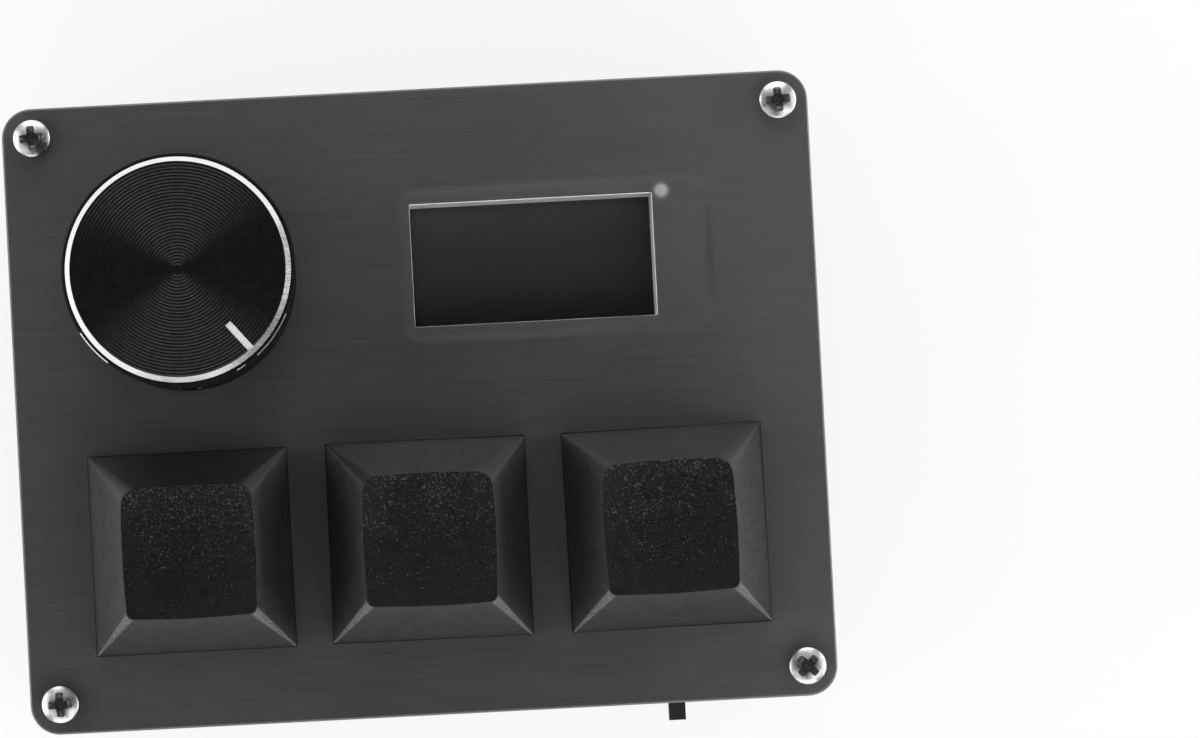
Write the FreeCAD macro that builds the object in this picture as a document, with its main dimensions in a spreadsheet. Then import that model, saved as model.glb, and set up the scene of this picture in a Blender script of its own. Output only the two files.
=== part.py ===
"""Macro keypad with one knob, three keys and a small screen.

Frame: +X to the right, +Y to the rear edge, +Z up. The origin is the middle of the footprint on the
desk, the slide switch's lever included. Lengths are in millimetres and angles in degrees.
"""
import FreeCAD, Part
import math
import os
import Sketcher
from types import SimpleNamespace

# Driving sizes: every other size and place is worked out from these
DRIVING = {
    # Case outline and its two shells
    "side_margin": 5.93,
    "front_margin": 6.78,
    "row_rise": 24.85,
    "panel_thick": 2.0,
    "corner_round": 2.7,
    "edge_round": 0.5,
    "wall": 2.0,
    "floor_thick": 2.0,
    "raised_tall": 0.15,
    "raised_round": 1.8,
    # Feet
    "foot_across": 8.0,
    "foot_stand": 1.5,
    "foot_inset": 8.6,
    # Screws, bosses and posts
    "screw_inset": 2.75,
    "thread_across": 2.0,
    "panel_head_across": 3.4,
    "panel_head_tall": 1.25,
    "panel_screw_reach": 6.0,
    "panel_head_crown": 2.45,
    "panel_head_rim": 0.6,
    "boss_across": 5.5,
    "post_across": 4.6,
    "post_inset_x": 6.15,
    "post_inset_y": 6.45,
    "board_head_across": 3.6,
    "board_head_tall": 1.2,
    "board_screw_reach": 4.4,
    "recess_wide": 0.5,
    "recess_long": 1.9,
    "recess_deep": 0.75,
    # Main board
    "board_thick": 1.6,
    "board_gap": 0.45,
    "post_tall": 3.3,
    # Keys
    "key_pitch": 21.55,
    "key_row_shift": 0.25,
    "cap_base": 18.1,
    "cap_gap": 0.12,
    "cap_skirt": 0.4,
    "cap_top": 11.7,
    "cap_tall": 7.6,
    "cap_sunk": 0.4,
    "cap_corner_base": 0.15,
    "cap_corner_top": 0.75,
    "cap_skin": 0.95,
    "cap_step_rise": 3.0,
    "cap_roof_rise": 4.8,
    "dish_radius": 34.0,
    "dish_deep": 0.85,
    "cap_socket_across": 5.5,
    "key_travel": 4.0,
    "middle_cap_twist": -0.5,
    "right_cap_twist": 0.6,
    # Key switch
    "switch_body": 14.0,
    "switch_flange": 15.6,
    "flange_thick": 1.0,
    "flange_rise": 5.0,
    "switch_tall": 11.6,
    "switch_top": 11.0,
    "switch_skin": 1.3,
    "hood_skin": 0.95,
    "stem_wide": 7.0,
    "stem_deep": 5.3,
    "stem_wing": 0.8,
    "stem_wing_deep": 2.6,
    "stem_low_gap": 1.4,
    "switch_floor": 1.0,
    "spring_seat": 1.0,
    "socket_way_gap": 0.3,
    "hood_step_rise": 8.6,
    "stem_fit": 0.2,
    "cross_long": 4.0,
    "cross_wide_x": 1.27,
    "cross_wide_y": 1.1,
    "cross_tall": 3.6,
    "cross_fit": 0.04,
    "guide_post_across": 3.9,
    "guide_post_long": 3.2,
    "pin_across": 1.2,
    "pin_thick": 0.5,
    "contact_rise": 2.0,
    "hole_fit": 0.1,
    "spring_across": 4.4,
    "spring_wire": 0.4,
    # Knob
    "knob_inset": 16.1,
    "knob_drop": 0.29,
    "knob_across": 20.0,
    "knob_tall": 17.0,
    "knob_lift": 1.0,
    "knob_skin": 2.2,
    "knob_roof": 2.4,
    "knob_cut_ledge": 0.1,
    "knob_cut_ring": 0.42,
    "insert_rise": 1.6,
    "pointer_wide": 0.6,
    "pointer_long": 3.1,
    "pointer_deep": 0.2,
    "pointer_turn": -50.3,
    "set_screw_across": 3.0,
    "set_screw_long": 6.0,
    "set_screw_rise": 4.2,
    "hex_across": 1.5,
    "hex_deep": 1.6,
    # Rotary encoder
    "encoder_wide": 12.0,
    "encoder_deep": 11.6,
    "encoder_base_tall": 5.6,
    "encoder_plate": 0.9,
    "encoder_leg_thick": 0.35,
    "encoder_leg_wide": 5.8,
    "encoder_leg_gap": 0.35,
    "terminal_pitch": 2.5,
    "terminal_tall": 1.9,
    "encoder_floor": 0.5,
    "rotor_across": 9.6,
    "rotor_thick": 1.2,
    "rotor_lift": 0.2,
    "rotor_room": 10.4,
    "bushing_across": 7.0,
    "bushing_top_gap": 0.7,
    "shaft_across": 6.0,
    "shaft_top_gap": 1.15,
    "shaft_flat_rise": 0.85,
    "shaft_flat_gap": 0.5,
    "shaft_flat_deep": 1.5,
    "turn_fit": 0.05,
    "press_travel": 0.5,
    "plunger_across": 4.0,
    "plunger_tall": 1.5,
    "plunger_fit": 0.1,
    "bushing_window": 7.6,
    # Screen
    "window_wide": 22.0,
    "window_tall": 11.1,
    "window_inset": 25.65,
    "window_round": 0.35,
    "screen_long": 27.95,
    "screen_tall": 13.5,
    "screen_frame_thick": 1.3,
    "screen_glass_thick": 0.5,
    "screen_rim": 0.6,
    "screen_end": 0.9,
    "gasket_thick": 0.7,
    "gasket_rim": 0.55,
    "holder_skin": 1.1,
    "holder_ledge": 1.6,
    "holder_socket_gap": 0.3,
    "flex_wide": 8.0,
    "flex_thick": 0.2,
    "flex_lap": 3.2,
    "flex_way_long": 7.0,
    # Socket on the rear edge
    "usb_wide": 8.94,
    "usb_tall": 3.26,
    "usb_long": 7.35,
    "usb_skin": 0.3,
    "usb_inset": 0.5,
    "usb_tongue_wide": 6.7,
    "usb_tongue_thick": 0.7,
    "usb_block_long": 2.1,
    "usb_window_wide": 9.7,
    "usb_window_tall": 4.0,
    "usb_recess_wide": 12.6,
    "usb_recess_tall": 6.8,
    "usb_recess_deep": 0.7,
    # Slide switch on the front edge
    "slide_inset": 13.24,
    "slide_wide": 8.6,
    "slide_deep": 4.3,
    "slide_tall": 4.6,
    "slide_skin": 0.3,
    "slide_gap": 0.45,
    "slide_track_inset": 1.2,
    "slide_track_floor": 0.6,
    "slide_travel": 2.0,
    "lever_wide": 1.5,
    "lever_carriage": 3.0,
    "lever_tall": 1.5,
    "lever_out": 1.85,
    "lever_fit": 0.3,
    # Chip and small parts on the board
    "chip_wide": 7.0,
    "chip_thick": 0.9,
    "chip_gap": 1.8,
    "chip_drop": 4.75,
    "crystal_long": 3.2,
    "crystal_wide": 2.5,
    "crystal_thick": 0.8,
    "part_long": 1.6,
    "part_wide": 0.8,
    "part_thick": 0.6,
    "part_pitch": 2.1,
    # Shared by all cuts and blends
    "overrun": 1.0,
    "hairline": 0.05,
}

# Shares of another size, which hold at any scale
way_round_share = 0.45
shell_round_share = 0.42
pin_place_shares = ((-0.545, 0.363), (0.363, 0.726))
diagonal_share = math.sqrt(0.5)
eight_sided_flat_share = math.cos(math.pi / 8)

doc = FreeCAD.newDocument("macro_keypad")
sheet = doc.addObject("Spreadsheet::Sheet", "Sizes")


class Size:
    """A size with its number and the formula that gives it from the sheet's cells."""

    def __init__(self, number, formula):
        self.number = number
        self.formula = formula

    def __add__(self, other):
        other = as_size(other)
        return Size(self.number + other.number, f"({self.formula} + {other.formula})")

    def __sub__(self, other):
        other = as_size(other)
        return Size(self.number - other.number, f"({self.formula} - {other.formula})")

    def __mul__(self, other):
        other = as_size(other)
        return Size(self.number * other.number, f"({self.formula} * {other.formula})")

    def __truediv__(self, other):
        other = as_size(other)
        return Size(self.number / other.number, f"({self.formula} / {other.formula})")

    def __neg__(self):
        return Size(-self.number, f"(0 - {self.formula})")

    __radd__ = __add__
    __rmul__ = __mul__


ZERO = Size(0.0, "0")


def as_size(value):
    """A plain number as a size: zero as a place, or a count or share to multiply by."""
    return value if isinstance(value, Size) else Size(float(value), str(value))


def fill_sheet():
    """Write each driving size on a row of its own, and return them by name."""
    found = {}
    for row, (name, number) in enumerate(DRIVING.items(), start=1):
        sheet.set(f"A{row}", name)
        sheet.set(f"B{row}", str(number))
        sheet.setAlias(f"B{row}", name)
        found[name] = Size(float(number), f"Sizes.{name}")
    doc.recompute()
    return SimpleNamespace(**found)


d = fill_sheet()


# Drawing in sketches

def bind(thing, name, size):
    """Tie one property of an object to the sheet."""
    thing.setExpression(name, as_size(size).formula)


def limit(sketch, kind, size, *points):
    """Add one dimension to a sketch and tie it to the sheet."""
    index = sketch.addConstraint(Sketcher.Constraint(kind, *points, size.number))
    sketch.setExpression(f"Constraints[{index}]", size.formula)


def pin(sketch, geometry, point, x=None, y=None):
    """Hold a point of a sketch at x, y; a place left out stays free."""
    for kind, axis, place in (("DistanceX", -2, x), ("DistanceY", -1, y)):
        if place is None:
            continue
        place = as_size(place)
        if place.formula == "0":
            sketch.addConstraint(Sketcher.Constraint("PointOnObject", geometry, point, axis))
        else:
            limit(sketch, kind, place, -1, 1, geometry, point)


def polygon(*corners):
    """A closed outline through the corners."""
    corners = [(as_size(x), as_size(y)) for x, y in corners]

    def draw(sketch):
        first = sketch.GeometryCount
        spots = [FreeCAD.Vector(x.number, y.number, 0) for x, y in corners]
        for start, end in zip(spots, spots[1:] + spots[:1]):
            sketch.addGeometry(Part.LineSegment(start, end), False)
        count = len(corners)
        for k, (x, y) in enumerate(corners):
            following = first + (k + 1) % count
            sketch.addConstraint(Sketcher.Constraint("Coincident", first + k, 2, following, 1))
            pin(sketch, first + k, 1, x, y)

    return draw


def box(x, y, wide, deep):
    """A rectangle round the middle x, y."""
    x, y = as_size(x), as_size(y)
    left, right = x - wide / 2, x + wide / 2
    front, rear = y - deep / 2, y + deep / 2
    return polygon((left, front), (right, front), (right, rear), (left, rear))


def facets(x, y, across, sides):
    """A regular outline with equal sides round x, y, `across` wide from corner to corner."""
    x, y = as_size(x), as_size(y)
    turns = [math.tau * k / sides for k in range(sides)]
    half = across / 2
    return polygon(*[(x + half * math.cos(turn), y + half * math.sin(turn)) for turn in turns])


def disc(x, y, across):
    """A circle round x, y."""
    x, y = as_size(x), as_size(y)

    def draw(sketch):
        centre = FreeCAD.Vector(x.number, y.number, 0)
        up = FreeCAD.Vector(0, 0, 1)
        index = sketch.addGeometry(Part.Circle(centre, up, across.number / 2), False)
        limit(sketch, "Radius", across / 2, index)
        pin(sketch, index, 3, x, y)

    return draw


def soft_box(x, y, wide, deep, radius):
    """A rectangle round x, y with round corners."""
    x, y = as_size(x), as_size(y)
    left, right = x - wide / 2, x + wide / 2
    front, rear = y - deep / 2, y + deep / 2

    def draw(sketch):
        r = radius.number
        x0, x1, y0, y1 = left.number, right.number, front.number, rear.number
        sides = [
            ((x0 + r, y0), (x1 - r, y0)), ((x1, y0 + r), (x1, y1 - r)),
            ((x1 - r, y1), (x0 + r, y1)), ((x0, y1 - r), (x0, y0 + r)),
        ]
        centres = [(x1 - r, y0 + r), (x1 - r, y1 - r), (x0 + r, y1 - r), (x0 + r, y0 + r)]
        first = sketch.GeometryCount
        up = FreeCAD.Vector(0, 0, 1)
        for k, (start, end) in enumerate(sides):
            line = Part.LineSegment(FreeCAD.Vector(*start, 0), FreeCAD.Vector(*end, 0))
            sketch.addGeometry(line, False)
            circle = Part.Circle(FreeCAD.Vector(*centres[k], 0), up, r)
            turn = (k - 1) * math.pi / 2
            sketch.addGeometry(Part.ArcOfCircle(circle, turn, turn + math.pi / 2), False)
        for k in range(8):
            following = first + (k + 1) % 8
            sketch.addConstraint(Sketcher.Constraint("Tangent", first + k, 2, following, 1))
        for k, kind in enumerate(("Horizontal", "Vertical", "Horizontal", "Vertical")):
            sketch.addConstraint(Sketcher.Constraint(kind, first + 2 * k))
        for k in (3, 5, 7):
            sketch.addConstraint(Sketcher.Constraint("Equal", first + 1, first + k))
        limit(sketch, "Radius", radius, first + 1)
        pin(sketch, first, 1, y=front)
        pin(sketch, first + 2, 1, x=right)
        pin(sketch, first + 4, 1, y=rear)
        pin(sketch, first + 6, 1, x=left)

    return draw


# Building sub-parts

class Piece:
    """One sub-part: a body made feature by feature from sketches on its own planes."""

    made = []

    def __init__(self, label):
        self.label = label
        self.body = doc.addObject("PartDesign::Body", label)
        self.body.Label = label
        Piece.made.append(self.body)

    def volume(self):
        return 0.0 if self.body.Shape.isNull() else self.body.Shape.Volume

    def feature(self, kind, word):
        return self.body.newObject(f"PartDesign::{kind}", f"{self.label}_{word}")

    def sketch(self, outlines, level, plane, turn=None):
        """Outlines on a plane of the body, `level` along that plane's own normal."""
        sketch = self.body.newObject("Sketcher::SketchObject", f"{self.label}_outline")
        planes = self.body.Origin.OriginFeatures
        sketch.AttachmentSupport = (next(p for p in planes if p.Role == plane), [""])
        sketch.MapMode = "FlatFace"
        bind(sketch, "AttachmentOffset.Base.z", level)
        if turn is not None:
            bind(sketch, "AttachmentOffset.Rotation.Angle", turn)
        for draw in outlines:
            draw(sketch)
        return sketch

    def swept(self, kind, word, outlines, low, high, plane, turn=None):
        """Add or cut between two levels; on XZ_Plane the levels run from the rear forwards."""
        low, high = as_size(low), as_size(high)
        made = self.sketch(outlines, low, plane, turn)
        step = self.feature(kind, word)
        step.Profile = made
        bind(step, "Length", high - low)
        step.Reversed = kind == "Pocket"
        before = self.volume()
        doc.recompute()
        change = self.volume() - before
        if (change <= 0.0) == (kind == "Pad"):
            raise RuntimeError(f"{self.label}: {word} changes nothing")
        return step

    def pad(self, word, outlines, low, high, plane="XY_Plane"):
        return self.swept("Pad", word, outlines, low, high, plane)

    def pocket(self, word, outlines, low, high, plane="XY_Plane", turn=None):
        return self.swept("Pocket", word, outlines, low, high, plane, turn)

    def turned(self, kind, word, outline):
        """Add or cut a profile turned round the body's Z axis; it is drawn as radius, height."""
        profile = self.sketch([outline], ZERO, "XZ_Plane")
        step = self.feature(kind, word)
        step.Profile = profile
        step.ReferenceAxis = (profile, ["V_Axis"])
        step.Angle = 360
        doc.recompute()
        return step

    def slope(self, word, wide_low, wide_high, low, high):
        """Cut the four sides of a square block to slope inwards from one width to another."""
        low, high, inner, outer = as_size(low), as_size(high), wide_high / 2, wide_low / 2
        far = outer + d.overrun
        for plane in ("XZ_Plane", "YZ_Plane"):
            right = polygon((outer, low), (far, low), (far, high), (inner, high))
            left = polygon((-outer, low), (-inner, high), (-far, high), (-far, low))
            self.pocket(word, [left, right], -far, far, plane)

    def bevel(self, word, size, chosen):
        """Bevel the edges for which `chosen` holds."""
        edges = self.body.Tip.Shape.Edges
        names = [f"Edge{k}" for k, edge in enumerate(edges, start=1) if chosen(edge)]
        if not names:
            raise RuntimeError(f"{self.label}: {word} finds no edge")
        base = self.body.Tip
        step = self.feature("Chamfer", word)
        step.Base = (base, names)
        bind(step, "Size", size)
        doc.recompute()
        return step

    def place(self, x=ZERO, y=ZERO, z=ZERO, turn=None):
        """Stand the body at its place, turned about its own Z axis."""
        for axis, value in (("x", x), ("y", y), ("z", z)):
            bind(self.body, f"Placement.Base.{axis}", value)
        if turn is not None:
            self.body.Placement.Rotation = FreeCAD.Rotation(FreeCAD.Vector(0, 0, 1), turn.number)
            bind(self.body, "Placement.Rotation.Angle", turn)
        doc.recompute()
        return self.body


def level_edges(level):
    """A test for the edges that lie flat at a level."""
    def chosen(edge):
        bounds = edge.BoundBox
        slack = d.hairline.number
        return abs(bounds.ZMin - level.number) < slack and abs(bounds.ZMax - level.number) < slack
    return chosen


def four_of(piece, label, across_x, across_y):
    """The same piece at four places: mirrored left to right, then front to rear."""
    Piece.made.remove(piece)
    piece.Label = f"one_of_{label}"
    source = piece
    for normal, place in (("x", across_x), ("y", across_y)):
        mirror = doc.addObject("Part::Mirroring", f"{label}_mirror_{normal}")
        mirror.Source = source
        mirror.Normal = FreeCAD.Vector(normal == "x", normal == "y", 0)
        bind(mirror, f"Base.{normal}", place)
        pair = doc.addObject("Part::Compound", f"{label}_pair_{normal}")
        pair.Links = [source, mirror]
        source = pair
    source.Label = label
    Piece.made.append(source)
    doc.recompute()


# Overall sizes, from the rows of pieces that the case holds
key_window = d.cap_base + d.cap_gap * 2
holder_fit = d.hole_fit * 2
holder_wide = d.screen_long + holder_fit + d.holder_skin * 2
holder_deep = d.screen_tall + holder_fit + d.holder_skin * 2
rear_margin = d.usb_inset + d.usb_long + d.holder_socket_gap + holder_deep / 2
panel_width = d.key_pitch * 2 + key_window + d.side_margin * 2
panel_depth = d.front_margin + key_window / 2 + d.row_rise + rear_margin

# Places shared by several sub-parts
mid_y = d.lever_out / 2
rear_y = mid_y + panel_depth / 2
front_y = mid_y - panel_depth / 2
floor_top = d.foot_stand + d.floor_thick
board_low = floor_top + d.post_tall
board_top = board_low + d.board_thick
panel_top = board_top + d.switch_tall
panel_low = panel_top - d.panel_thick
screw_x = panel_width / 2 - d.screw_inset
screw_y = rear_y - d.screw_inset
foot_x = panel_width / 2 - d.foot_inset
foot_y = rear_y - d.foot_inset
post_x = panel_width / 2 - d.post_inset_x
post_y = rear_y - d.post_inset_y
key_y = front_y + d.front_margin + key_window / 2
key_places = {
    "left": (d.key_row_shift - d.key_pitch, ZERO),
    "middle": (d.key_row_shift, d.middle_cap_twist),
    "right": (d.key_row_shift + d.key_pitch, d.right_cap_twist),
}
window_x = panel_width / 2 - d.window_inset
window_y = key_y + d.row_rise
screen_x = window_x - d.window_wide / 2 - d.screen_end + d.screen_long / 2
screen_glass_top = panel_low - d.gasket_thick
screen_low = screen_glass_top - d.screen_glass_thick - d.screen_frame_thick
slide_x = panel_width / 2 - d.slide_inset
knob_x = -panel_width / 2 + d.knob_inset
knob_y = window_y - d.knob_drop
knob_low = panel_top + d.knob_lift
knob_top = knob_low + d.knob_tall
knob_roof_low = knob_top - d.knob_roof
knob_insert_low = knob_low + d.insert_rise


def mirrored_places(x, y):
    """The four places at plus and minus x, and at y and its mirror in the case's middle line."""
    low_y = mid_y * 2 - y
    return [(x, y), (-x, y), (x, low_y), (-x, low_y)]


# Case

def make_case_tub():
    """Floor, walls, corner bosses and board posts in one moulding."""
    tub = Piece("case_tub")
    outline = soft_box(0, mid_y, panel_width, panel_depth, d.corner_round)
    tub.pad("outside", [outline], d.foot_stand, panel_low)
    tub.bevel("bottom_bevel", d.edge_round, level_edges(d.foot_stand))
    inner = soft_box(0, mid_y, panel_width - d.wall * 2, panel_depth - d.wall * 2,
                     d.corner_round - d.wall)
    tub.pocket("room", [inner], floor_top, panel_low + d.overrun)
    bosses = [disc(x, y, d.boss_across) for x, y in mirrored_places(screw_x, screw_y)]
    tub.pad("corner_bosses", bosses, floor_top, panel_low)
    posts = [box(x, y, d.post_across, d.post_across) for x, y in mirrored_places(post_x, post_y)]
    tub.pad("board_posts", posts, floor_top, board_low)
    pilots = [disc(x, y, d.thread_across) for x, y in mirrored_places(screw_x, screw_y)]
    tub.pocket("boss_pilots", pilots, panel_top - d.panel_screw_reach, panel_low + d.overrun)
    pilots = [disc(x, y, d.thread_across) for x, y in mirrored_places(post_x, post_y)]
    tub.pocket("post_pilots", pilots, board_top - d.board_screw_reach, board_low + d.overrun)
    cut_socket_way(tub)
    cut_lever_slot(tub)


def cut_socket_way(tub):
    """The way through the rear wall to the socket, with a shallow seat for the plug's grip."""
    middle = board_top + d.usb_tall / 2
    way = soft_box(0, middle, d.usb_window_wide, d.usb_window_tall,
                   d.usb_window_tall * way_round_share)
    tub.pocket("socket_way", [way], -rear_y - d.overrun, -rear_y + d.wall + d.overrun, "XZ_Plane")
    seat = soft_box(0, middle, d.usb_recess_wide, d.usb_recess_tall,
                    d.usb_recess_tall * way_round_share)
    tub.pocket("plug_seat", [seat], -rear_y - d.overrun, -rear_y + d.usb_recess_deep, "XZ_Plane")


def cut_lever_slot(tub):
    """The slot in the front wall in which the slide switch's lever travels."""
    wide = d.lever_wide + d.slide_travel + d.lever_fit * 2
    tall = d.lever_tall + d.lever_fit * 2
    slot = box(slide_x, board_top + d.slide_tall / 2, wide, tall)
    tub.pocket("lever_slot", [slot], -front_y - d.wall - d.overrun, -front_y + d.overrun, "XZ_Plane")


def make_top_panel():
    """The flat cover with its windows, and the low raised zone over the screen."""
    panel = Piece("top_panel")
    outline = soft_box(0, mid_y, panel_width, panel_depth, d.corner_round)
    panel.pad("plate", [outline], panel_low, panel_top)
    panel.bevel("edge_bevel", d.edge_round, level_edges(panel_top))
    zone = soft_box(screen_x, window_y, d.screen_long, d.screen_tall, d.raised_round)
    panel.pad("raised_zone", [zone], panel_top, panel_top + d.raised_tall)
    through = (panel_low - d.overrun, panel_top + d.overrun)
    window = soft_box(window_x, window_y, d.window_wide, d.window_tall, d.window_round)
    panel.pocket("screen_window", [window], *through)
    keys = [box(x, key_y, key_window, key_window) for x, _ in key_places.values()]
    panel.pocket("key_windows", keys, *through)
    panel.pocket("bushing_window", [disc(knob_x, knob_y, d.bushing_window)], *through)
    hole = d.thread_across + d.hole_fit * 2
    holes = [disc(x, y, hole) for x, y in mirrored_places(screw_x, screw_y)]
    panel.pocket("screw_holes", holes, *through)


# Screws and feet

def shank_outline():
    """A six-sided shank whose corners cut the thread in its pilot hole."""
    return facets(0, 0, d.thread_across - d.hairline * 2, 6)


def make_panel_screw():
    """A pan-head screw standing on its seat at z = 0: rounded head, shank and cross recess."""
    screw = Piece("panel_screw")
    rim = d.panel_head_across / 2
    tall = d.panel_head_tall
    outline = polygon((0, 0), (rim, 0), (rim, d.panel_head_rim), (d.panel_head_crown / 2, tall),
                      (0, tall))
    screw.turned("Revolution", "head", outline)
    screw.pad("shank", [shank_outline()], -d.panel_screw_reach, ZERO)
    low = tall - d.recess_deep
    for word, wide, deep in (("across", d.recess_long, d.recess_wide),
                             ("along", d.recess_wide, d.recess_long)):
        screw.pocket(f"recess_{word}", [box(0, 0, wide, deep)], low, tall + d.overrun)
    return screw


def make_board_screw():
    """A hexagon-head screw standing on its seat at z = 0."""
    screw = Piece("board_screw")
    screw.pad("head", [facets(0, 0, d.board_head_across, 6)], ZERO, d.board_head_tall)
    screw.pad("shank", [shank_outline()], -d.board_screw_reach, ZERO)
    return screw


def make_fasteners():
    """Panel screws in the corner bosses, and board screws in the posts."""
    screw = make_panel_screw()
    four_of(screw.place(screw_x, screw_y, panel_top), "panel_screws", ZERO, mid_y)
    screw = make_board_screw()
    four_of(screw.place(post_x, post_y, board_top), "board_screws", ZERO, mid_y)


def make_feet():
    """Four rubber discs stuck to the floor's underside."""
    foot = Piece("rubber_foot")
    foot.pad("disc", [disc(0, 0, d.foot_across)], ZERO, d.foot_stand)
    foot.place(foot_x, foot_y)
    four_of(foot.body, "rubber_feet", ZERO, mid_y)


# Board and what is soldered on it

def make_main_board():
    """The board with notches for the corner bosses and holes for posts and switch pegs."""
    board = Piece("main_board")
    wide = panel_width - d.wall * 2 - d.board_gap * 2
    deep = panel_depth - d.wall * 2 - d.board_gap * 2
    board.pad("blank", [box(0, mid_y, wide, deep)], board_low, board_top)
    through = (board_low - d.overrun, board_top + d.overrun)
    notch = (d.boss_across + d.board_gap * 2) / eight_sided_flat_share
    board.pocket("corner_notches",
                 [facets(x, y, notch, 8) for x, y in mirrored_places(screw_x, screw_y)], *through)
    hole = d.thread_across + d.hole_fit * 2
    board.pocket("post_holes", [disc(x, y, hole) for x, y in mirrored_places(post_x, post_y)],
                 *through)
    for word, (x, _) in key_places.items():
        ways = [facets(x, key_y, d.guide_post_across + d.hole_fit * 2, 8)]
        ways += [box(x + pin_x, key_y + pin_y, d.pin_across + d.hole_fit, d.pin_thick + d.hole_fit)
                 for pin_x, pin_y in pin_places()]
        board.pocket(f"{word}_switch_holes", ways, *through)


def pin_places():
    """Places of a key switch's two contact pins, from its middle."""
    half = d.switch_body / 2
    return [(half * x_share, half * y_share) for x_share, y_share in pin_place_shares]


def make_usb_socket():
    """A folded steel shell, open to the rear, with its tongue block inside."""
    shell = Piece("usb_socket_shell")
    middle = board_top + d.usb_tall / 2
    mouth = -rear_y + d.usb_inset
    outer = soft_box(0, middle, d.usb_wide, d.usb_tall, d.usb_tall * shell_round_share)
    shell.pad("shell", [outer], mouth, mouth + d.usb_long, "XZ_Plane")
    inner = soft_box(0, middle, d.usb_wide - d.usb_skin * 2, d.usb_tall - d.usb_skin * 2,
                     (d.usb_tall - d.usb_skin * 2) * shell_round_share)
    shell.pocket("mouth", [inner], mouth - d.overrun, mouth + d.usb_long - d.usb_skin, "XZ_Plane")
    tongue = Piece("usb_socket_tongue")
    back = mouth + d.usb_long - d.usb_skin
    block = box(0, middle, d.usb_tongue_wide, d.usb_tall - d.usb_skin * 2 - d.hairline * 2)
    tongue.pad("block", [block], back - d.usb_block_long, back, "XZ_Plane")
    blade = box(0, middle, d.usb_tongue_wide, d.usb_tongue_thick)
    tongue.pad("blade", [blade], mouth + d.usb_skin, back, "XZ_Plane")


def make_slide_switch():
    """A steel shell open at the front and below, its base block, and the lever that slides."""
    middle = board_top + d.slide_tall / 2
    near = -front_y - d.wall - d.slide_gap
    far = near - d.slide_deep
    wide = d.lever_wide + d.slide_travel + d.lever_fit * 2
    shell = Piece("slide_switch_shell")
    shell.pad("shell", [box(slide_x, middle, d.slide_wide, d.slide_tall)], far, near,
              "XZ_Plane")
    room = box(slide_x, middle - d.slide_skin, d.slide_wide - d.slide_skin * 2, d.slide_tall)
    shell.pocket("room", [room], far - d.overrun, near - d.slide_skin, "XZ_Plane")
    slot = box(slide_x, middle, wide, d.lever_tall + d.lever_fit * 2)
    shell.pocket("slot", [slot], near - d.slide_skin - d.overrun, near + d.overrun, "XZ_Plane")
    base = Piece("slide_switch_base")
    block_wide = d.slide_wide - d.slide_skin * 2 - d.hairline * 2
    block_tall = d.slide_tall - d.slide_skin - d.hairline
    block = box(slide_x, board_top + block_tall / 2, block_wide, block_tall)
    base.pad("block", [block], far, near - d.slide_skin - d.hairline, "XZ_Plane")
    track = box(slide_x, middle, d.slide_wide - d.slide_track_inset * 2,
                d.lever_tall + d.lever_fit * 2)
    base.pocket("track", [track], far + d.slide_track_floor, near + d.overrun, "XZ_Plane")
    lever = Piece("slide_switch_lever")
    rest_x = slide_x - d.slide_travel / 2
    back = far + d.slide_track_floor + d.lever_fit
    lever.pad("carriage", [box(rest_x, middle, d.lever_carriage, d.lever_tall)], back,
              near - d.slide_skin - d.lever_fit, "XZ_Plane")
    lever.pad("tip", [box(rest_x, middle, d.lever_wide, d.lever_tall)], back,
              -front_y + d.lever_out, "XZ_Plane")


def make_board_parts():
    """The controller chip, its crystal can and a few small two-ended parts."""
    chip = Piece("controller_chip")
    x = screen_x - holder_wide / 2 - d.chip_gap - d.chip_wide / 2
    y = window_y - d.chip_drop
    chip.pad("package", [box(x, y, d.chip_wide, d.chip_wide)], board_top, board_top + d.chip_thick)
    can = Piece("crystal_can")
    can_y = y + d.chip_wide / 2 + d.crystal_wide
    can.pad("can", [box(x, can_y, d.crystal_long, d.crystal_wide)], board_top,
            board_top + d.crystal_thick)
    parts = Piece("small_board_parts")
    row_y = y - d.chip_wide / 2 - d.part_long
    places = [(x + d.part_pitch * k, row_y) for k in (-1, 0, 1)]
    places += [(x + d.part_pitch * k, can_y + d.crystal_wide) for k in (-1, 0, 1)]
    parts.pad("bodies", [box(px, py, d.part_wide, d.part_long) for px, py in places],
              board_top, board_top + d.part_thick)


# Screen

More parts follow.
